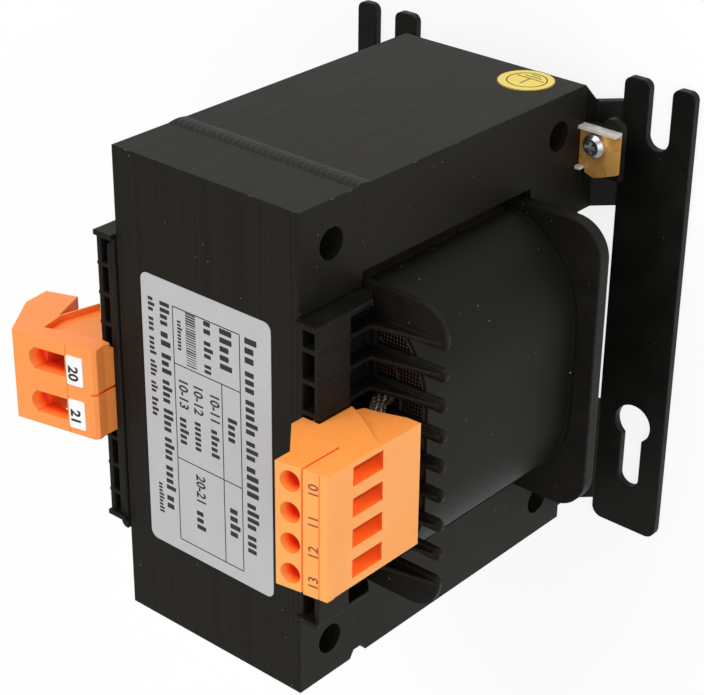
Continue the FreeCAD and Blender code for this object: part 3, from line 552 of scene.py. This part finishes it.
def keep(piece, material):
    piece.data.materials.clear()
    piece.data.materials.append(material)
    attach(piece, "root")


def startBlock(name, size):              # a block round the origin
    bpy.ops.object.select_all(action="DESELECT")
    bpy.ops.mesh.primitive_cube_add(size=1)
    piece = bpy.context.object
    piece.name = name
    piece.scale = size
    settle(piece)
    return piece


def roundEdges(piece, chosen, radius, steps):                # rounds the edges that pass a test
    bpy.ops.object.mode_set(mode="EDIT")
    bpy.ops.mesh.select_mode(type="EDGE")
    bpy.ops.mesh.select_all(action="DESELECT")
    bpy.ops.object.mode_set(mode="OBJECT")
    points = piece.data.vertices
    for edge in piece.data.edges:
        start, end = (points[i].co for i in edge.vertices)
        edge.select = chosen(start, end)
    bpy.ops.object.mode_set(mode="EDIT")
    bpy.ops.mesh.bevel(offset=radius, segments=steps)
    bpy.ops.object.mode_set(mode="OBJECT")


railStrip = {                            # two opposite corners, in the frame
    "low": (-39.0 * mm, 27.85 * mm, 110.8 * mm), "high": (36.6 * mm, 30.2 * mm, 112.15 * mm),
    "corner": 1.9 * mm, "cornerSteps": 8,
    "edge": 0.35 * mm, "edgeSteps": 3, "sharp": math.radians(50), "smooth": math.radians(40),
}


def makeRailStrip():                     # smooth strip beside the core, over the far rail's cells
    low, high = Vector(railStrip["low"]), Vector(railStrip["high"])
    size = high - low
    piece = startBlock("railStrip", size)

    def outerCorner(start, end):         # upright edges on the side away from the core
        return abs(start.z - end.z) > size.z / 2 and start.y > 0

    roundEdges(piece, outerCorner, railStrip["corner"], railStrip["cornerSteps"])
    settle(piece, (low + high) / 2)
    soften = piece.modifiers.new("softEdges", "BEVEL")
    soften.width = railStrip["edge"]
    soften.segments = railStrip["edgeSteps"]
    soften.limit_method = "ANGLE"
    soften.angle_limit = railStrip["sharp"]
    bpy.ops.object.modifier_apply(modifier=soften.name)
    bpy.ops.object.shade_smooth_by_angle(angle=railStrip["smooth"])
    keep(piece, finishes["bobbin_black"])


makeRailStrip()
print("rail strip made")


deckCover = {
    "middle": (12.93 * mm, -39.0 * mm, 104.5 * mm),
    "long": 4.4 * mm, "tall": 3.0 * mm, "thick": 0.13 * mm, "corner": 0.3 * mm, "cornerSteps": 3,
    "slope": math.atan(1.2 / 12.0),      # the end face leans 1.2 mm in 12 mm
}


def makeDeckCover():                     # closes the thin end wall beside the first clamp
    thick = deckCover["thick"]
    piece = startBlock("deckCover", (thick, deckCover["long"], deckCover["tall"]))

    def through(start, end):             # the four short edges
        return abs(start.x - end.x) > thick / 2

    roundEdges(piece, through, deckCover["corner"], deckCover["cornerSteps"])
    settle(piece, deckCover["middle"], (0, 0, deckCover["slope"]))
    keep(piece, fourPole)


makeDeckCover()
print("deck cover made")


# Print: flat ink pieces, made level and then set on what carries them
inkShape = {
    "depth": 0.03 * mm, "corner": 0.12 * mm, "cornerSteps": 2,
    "cornerShare": 0.3,                  # most that a corner takes of a bar's width
    "ringSteps": 72, "letterSteps": 3,
}


def startPrint(name):                    # an empty piece in edit mode
    bpy.ops.object.select_all(action="DESELECT")
    bpy.ops.mesh.primitive_plane_add(size=1 * mm)
    piece = bpy.context.object
    piece.name = name
    bpy.ops.object.mode_set(mode="EDIT")
    bpy.ops.mesh.select_all(action="SELECT")
    bpy.ops.mesh.delete(type="VERT")
    return piece


def addBar(x0, x1, y0, y1, corner=inkShape["corner"]):       # a bar with rounded corners
    centre = ((x0 + x1) / 2, (y0 + y1) / 2, 0)
    size = (abs(x1 - x0), abs(y1 - y0), 1)
    bpy.ops.mesh.select_all(action="DESELECT")
    bpy.ops.mesh.primitive_plane_add(size=1, location=centre)
    bpy.ops.transform.resize(value=size, center_override=centre)
    bpy.ops.mesh.bevel(offset=min(corner, inkShape["cornerShare"] * min(size[:2])),
                       segments=inkShape["cornerSteps"], affect="VERTICES")


def addRing(centre, radius, line):
    bpy.ops.mesh.select_all(action="DESELECT")
    bpy.ops.mesh.primitive_circle_add(vertices=inkShape["ringSteps"], radius=radius,
                                      fill_type="NGON", location=(*centre, 0))
    bpy.ops.mesh.inset(thickness=line, depth=0)
    bpy.ops.mesh.delete(type="FACE")


def thicken():                           # ends the edit with a thin closed layer
    bpy.ops.mesh.select_all(action="SELECT")
    bpy.ops.mesh.extrude_region_move(
        TRANSFORM_OT_translate={"value": (0, 0, inkShape["depth"])})
    bpy.ops.mesh.select_all(action="SELECT")
    bpy.ops.mesh.normals_make_consistent(inside=False)
    bpy.ops.object.mode_set(mode="OBJECT")


def makeText(words, look):
    bpy.ops.object.select_all(action="DESELECT")
    bpy.ops.object.text_add(location=(0, 0, 0))
    piece = bpy.context.object
    piece.data.body = words
    piece.data.size = look["letter"]
    piece.data.offset = look["bold"]
    piece.data.extrude = inkShape["depth"] / 2
    piece.data.resolution_u = inkShape["letterSteps"]
    piece.data.align_x = "CENTER"
    piece.data.align_y = "CENTER"
    bpy.ops.object.convert(target="MESH")
    piece = bpy.context.object
    piece.scale = (look["narrow"], 1, 1)
    settle(piece)
    return piece


def joinPieces(pieces, name):
    bpy.ops.object.select_all(action="DESELECT")
    for piece in pieces:
        piece.select_set(True)
    bpy.context.view_layer.objects.active = pieces[0]
    bpy.ops.object.join()
    pieces[0].name = name
    return pieces[0]


labelPrint = {                           # places are shares of the label's length and width
    "line": 0.25 * mm,
    "frame": (0.08, 0.952, 0.25, 0.767), "uprights": [0.283, 0.634],
    "split": (0.283, 0.952, 0.6235),
    # from, to, low, high, words
    "rows": [(0.08, 0.875, 0.80, 0.90, 7), (0.08, 0.863, 0.143, 0.228, 8),
             (0.08, 0.52, 0.05, 0.108, 6), (0.768, 0.887, 0.078, 0.123, 1),
             (0.086, 0.24, 0.609, 0.712, 1), (0.084, 0.276, 0.488, 0.566, 3),
             (0.123, 0.232, 0.282, 0.325, 1), (0.394, 0.489, 0.662, 0.741, 1),
             (0.466, 0.575, 0.527, 0.597, 1), (0.466, 0.579, 0.397, 0.466, 1),
             (0.475, 0.58, 0.275, 0.353, 1), (0.73, 0.847, 0.662, 0.751, 1),
             (0.805, 0.885, 0.39, 0.47, 1)],
    "wordShares": (0.6, 1.4), "wordGap": 1.1 * mm, "blockPace": 0.52, "blockShare": 0.62,
    "blockHeights": (0.74, 0.74, 1.0), "blockMargin": 0.05, "blockCorner": 0.16 * mm,
    # from, to, low, high, count
    "stripes": (0.083, 0.277, 0.351, 0.428, 22), "stripeShares": (0.3, 0.45, 0.6),
    "stripeCorner": 0.01 * mm,
    # number, middle along, middle across
    "numbers": [("10-11", 0.387, 0.562), ("10-12", 0.382, 0.4315), ("10-13", 0.384, 0.314),
                ("20-21", 0.72, 0.43)],
    "letter": 4.0 * mm, "bold": 0.08 * mm, "narrow": 0.84, "seed": 7,
}


def addFrames(along, across):
    half = labelPrint["line"] / 2
    u0, u1, v0, v1 = labelPrint["frame"]
    for v in (v0, v1):
        addBar(along(u0), along(u1), across(v) - half, across(v) + half)
    for u in [u0, u1] + labelPrint["uprights"]:
        addBar(along(u) - half, along(u) + half, across(v0), across(v1))
    u0, u1, v = labelPrint["split"]
    addBar(along(u0), along(u1), across(v) - half, across(v) + half)


def addWordRow(left, right, low, high, words, draw):         # plain blocks in place of words
    shares = [draw.uniform(*labelPrint["wordShares"]) for _ in range(words)]
    room = right - left - labelPrint["wordGap"] * (words - 1)
    tall = high - low
    margin = labelPrint["blockMargin"]
    for share in shares:
        reach = room * share / sum(shares)
        count = max(2, round(reach / (labelPrint["blockPace"] * tall)))
        pace = reach / count
        for i in range(count):
            start = left + i * pace
            height = margin + (1 - 2 * margin) * draw.choice(labelPrint["blockHeights"])
            addBar(start, start + pace * labelPrint["blockShare"], low + margin * tall,
                   low + height * tall, labelPrint["blockCorner"])
        left += reach + labelPrint["wordGap"]


def addStripes(along, across, draw):
    u0, u1, v0, v1, count = labelPrint["stripes"]
    step = (along(u1) - along(u0)) / count
    for i in range(count):
        thick = step * draw.choice(labelPrint["stripeShares"])
        start = along(u0) + i * step
        addBar(start, start + thick, across(v0), across(v1), labelPrint["stripeCorner"])


def makeLabelPrint():
    low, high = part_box("rating_label")
    middle = (low + high) / 2

    def along(share):
        return (share - 0.5) * (high[0] - low[0])

    def across(share):
        return (share - 0.5) * (high[1] - low[1])

    draw = random.Random(labelPrint["seed"])
    pieces = [startPrint("labelPrint")]
    addFrames(along, across)
    for u0, u1, v0, v1, words in labelPrint["rows"]:
        addWordRow(along(u0), along(u1), across(v0), across(v1), words, draw)
    addStripes(along, across, draw)
    thicken()
    for words, u, v in labelPrint["numbers"]:
        text = makeText(words, labelPrint)
        settle(text, (along(u), across(v), inkShape["depth"] / 2))
        pieces.append(text)
    piece = joinPieces(pieces, "labelPrint")
    settle(piece, (middle[0], middle[1], high[2]), (0, 0, math.pi))
    keep(piece, ink)


poleNumbers = {                          # brown numbers on the four-pole block's strip
    "names": ["10", "11", "12", "13"], "piece": "poleNumber", "on": "four_pole_housing",
    "beside": -0.4 * mm, "y": -46.05 * mm, "lift": 0.01 * mm, "turn": 0.0,
    "letter": 3.45 * mm, "bold": 0.02 * mm, "narrow": 0.95,
}
tagNumbers = {                           # black numbers on the white tags
    "names": ["20", "21"], "piece": "tagNumber", "on": "marker_{}",
    "beside": -1.1 * mm, "y": 34.75 * mm, "lift": inkShape["depth"] / 2, "turn": math.pi,
    "letter": 3.7 * mm, "bold": 0.12 * mm, "narrow": 1.04,
}


def topOf(node, x, y):                   # height and tilt of a node's surface under a point
    overhead, down = (x, y, 1.0), (0, 0, -1)
    _, place, normal, _ = nodes[node].ray_cast(overhead, down)
    return place[2], math.atan2(-normal[1], normal[2])


def makeNumbers(look, material):
    for name in look["names"]:
        low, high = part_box("terminal_clamp_" + name)
        x = (low[0] + high[0]) / 2 + look["beside"]
        height, tilt = topOf(look["on"].format(name), x, look["y"])
        text = makeText(name, look)
        text.name = look["piece"] + name
        settle(text, (0, 0, 0), (0, 0, look["turn"]))
        settle(text, (x, look["y"], height + look["lift"]), (tilt, 0, 0))
        keep(text, material)


earthMark = {                            # middle of the mark as (y, z); bars as height, length
    "middle": (-15.3 * mm, 18.4 * mm), "ring": 4.8 * mm, "line": 0.32 * mm,
    "bars": [(-1.3 * mm, 7.9 * mm), (-2.55 * mm, 4.9 * mm), (-3.75 * mm, 2.6 * mm)],
    "stemTop": 2.9 * mm, "edge": 0.25 * mm,
}


def makeEarthMark():
    low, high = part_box("earth_sticker")
    y, z = earthMark["middle"]
    half = earthMark["line"] / 2
    piece = startPrint("earthMarkPrint")
    addRing((0, 0), earthMark["ring"] + half, earthMark["line"])
    sticker = ((low[1] + high[1]) / 2 - y, (low[2] + high[2]) / 2 - z)
    addRing(sticker, (high[2] - low[2]) / 2, earthMark["edge"])
    for height, length in earthMark["bars"]:
        addBar(-length / 2, length / 2, height - half, height + half)
    stemFoot = earthMark["bars"][0][0]
    addBar(-half, half, stemFoot, earthMark["stemTop"])
    thicken()
    settle(piece, (0, 0, 0), (math.pi / 2, 0, math.pi / 2))
    settle(piece, (high[0], y, z))
    keep(piece, ink)


makeLabelPrint()
makeNumbers(poleNumbers, brownInk)
makeNumbers(tagNumbers, ink)
makeEarthMark()
print("print made")


# Camera, floor and light. The view was fitted to corners and holes in the photo
view = {
    "place": (0.2216, -0.2724, 0.3781), "ahead": (-0.46832, 0.57767, -0.66856),
    "top": (0.88351, 0.31374, -0.34781), "lens": 100.75, "sensor": 36.0,
    "near": 0.01, "far": 50.0,
}


def placeCamera():
    bpy.ops.object.camera_add(location=view["place"])
    camera = bpy.context.object
    camera.name = "photoCamera"
    ahead = Vector(view["ahead"]).normalized()
    right = ahead.cross(Vector(view["top"])).normalized()
    top = right.cross(ahead)
    camera.rotation_euler = Matrix((right, top, -ahead)).transposed().to_euler()
    camera.data.lens = view["lens"]
    camera.data.sensor_width = view["sensor"]
    camera.data.clip_start = view["near"]
    camera.data.clip_end = view["far"]
    bpy.context.scene.camera = camera


studio = {
    "size": 8.0, "level": -0.05 * mm,    # just under the feet
    "white": (1.0, 1.0, 1.0), "rough": 0.9,
    "shadowShare": 0.18,                 # how much of its own shading the floor shows
    "world": 0.5, "aim": (0, 0, 0.06),
}


def makeFloor():
    bpy.ops.mesh.primitive_plane_add(size=studio["size"], location=(0, 0, studio["level"]))
    floor = bpy.context.object
    floor.name = "studioFloor"
    f = Finish("studioPaper")
    f.set(Base_Color=studio["white"], Roughness=studio["rough"])
    white = f.node("ShaderNodeEmission", {}, {"Color": studio["white"], "Strength": 1.0})
    seen = (f.node("ShaderNodeLightPath", out="Is Camera Ray")
            + f.node("ShaderNodeLightPath", out="Is Glossy Ray"))
    mixed = f.node("ShaderNodeMixShader", {}, [seen * (1.0 - studio["shadowShare"]),
                                               Wire(f, f.shader.outputs[0]), white])
    f.feed(f.tree.nodes["Material Output"].inputs["Surface"], mixed)
    floor.data.materials.append(f.material)


lamps = [                                # name, place, size, watts
    ("topPanel", (0.9, 0.1, 0.9), 0.9, 8.0),
    ("sidePanel", (0.15, -1.1, 0.8), 0.9, 4.2),
    ("frontPanel", (-0.6, -0.3, 1.2), 1.0, 4.0),
]


def lightStudio():
    for name, place, size, watts in lamps:
        bpy.ops.object.light_add(type="AREA", location=place)
        lamp = bpy.context.object
        lamp.name = name
        lamp.data.size = size
        lamp.data.energy = watts
        towards = Vector(studio["aim"]) - Vector(place)
        lamp.rotation_euler = towards.to_track_quat("-Z", "Y").to_euler()
    world = bpy.data.worlds.new("studioWorld")
    world.use_nodes = True
    background = world.node_tree.nodes["Background"]
    background.inputs["Color"].default_value = (*studio["white"], 1.0)
    background.inputs["Strength"].default_value = studio["world"]
    bpy.context.scene.world = world


placeCamera()
makeFloor()
lightStudio()
bpy.context.scene.view_settings.view_transform = "Standard"
print("camera, floor and lamps placed")
